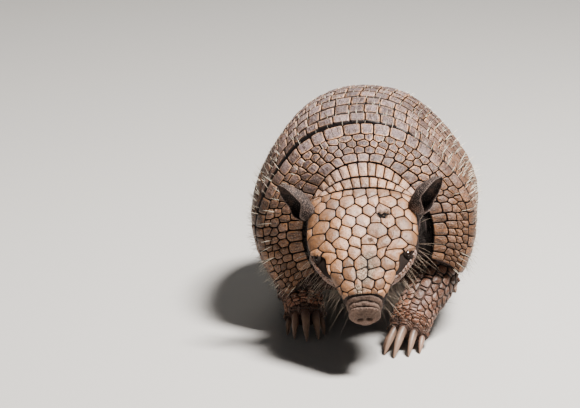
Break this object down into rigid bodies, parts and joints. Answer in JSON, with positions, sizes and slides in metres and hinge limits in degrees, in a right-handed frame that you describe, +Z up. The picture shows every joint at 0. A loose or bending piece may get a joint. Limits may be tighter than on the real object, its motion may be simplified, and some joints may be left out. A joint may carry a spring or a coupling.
{
  "type": "armadillo",
  "caption": "Life-size still model of a six-banded armadillo walking with its head low: bony plates, movable bands, long claws and an armoured tail.",
  "frame": {"origin": "middle of the bounding box on the floor", "axes": "+Z up, +Y towards the tail, -Y the way the animal faces, +X the animal's left"},
  "size_m": [0.2114, 0.571, 0.2084],
  "materials": {
    "armour": "grey-brown horn over bony plates",
    "head_plates": "tan horn over bony plates",
    "hide": "dark wrinkled skin",
    "scaly_hide": "orange-brown scaly skin",
    "ear": "dark pebbled skin",
    "eye": "wet black",
    "claw": "pale horn, satin"
  },
  "bodies": {
    "root": {"shoulder_shield": "armour", "pelvic_shield": "armour", "band_1": "armour", "band_2": "armour", "band_3": "armour", "band_4": "armour", "band_5": "armour", "band_6": "armour", "band_7": "armour", "head_shield": "head_plates", "neck_band_1": "head_plates", "neck_band_2": "head_plates", "head": "hide", "neck": "hide", "trunk": "hide", "tail": "scaly_hide", "foreleg_left": "scaly_hide", "foreleg_right": "scaly_hide", "hindleg_left": "scaly_hide", "hindleg_right": "scaly_hide", "ear_left": "ear", "ear_right": "ear", "eye_left": "eye", "eye_right": "eye", "foreleg_left_claw_1": "claw", "foreleg_left_claw_2": "claw", "foreleg_left_claw_3": "claw", "foreleg_left_claw_4": "claw", "foreleg_left_claw_5": "claw", "foreleg_right_claw_1": "claw", "foreleg_right_claw_2": "claw", "foreleg_right_claw_3": "claw", "foreleg_right_claw_4": "claw", "foreleg_right_claw_5": "claw", "hindleg_left_claw_1": "claw", "hindleg_left_claw_2": "claw", "hindleg_left_claw_3": "claw", "hindleg_left_claw_4": "claw", "hindleg_left_claw_5": "claw", "hindleg_right_claw_1": "claw", "hindleg_right_claw_2": "claw", "hindleg_right_claw_3": "claw", "hindleg_right_claw_4": "claw", "hindleg_right_claw_5": "claw"}
  },
  "joints": []
}
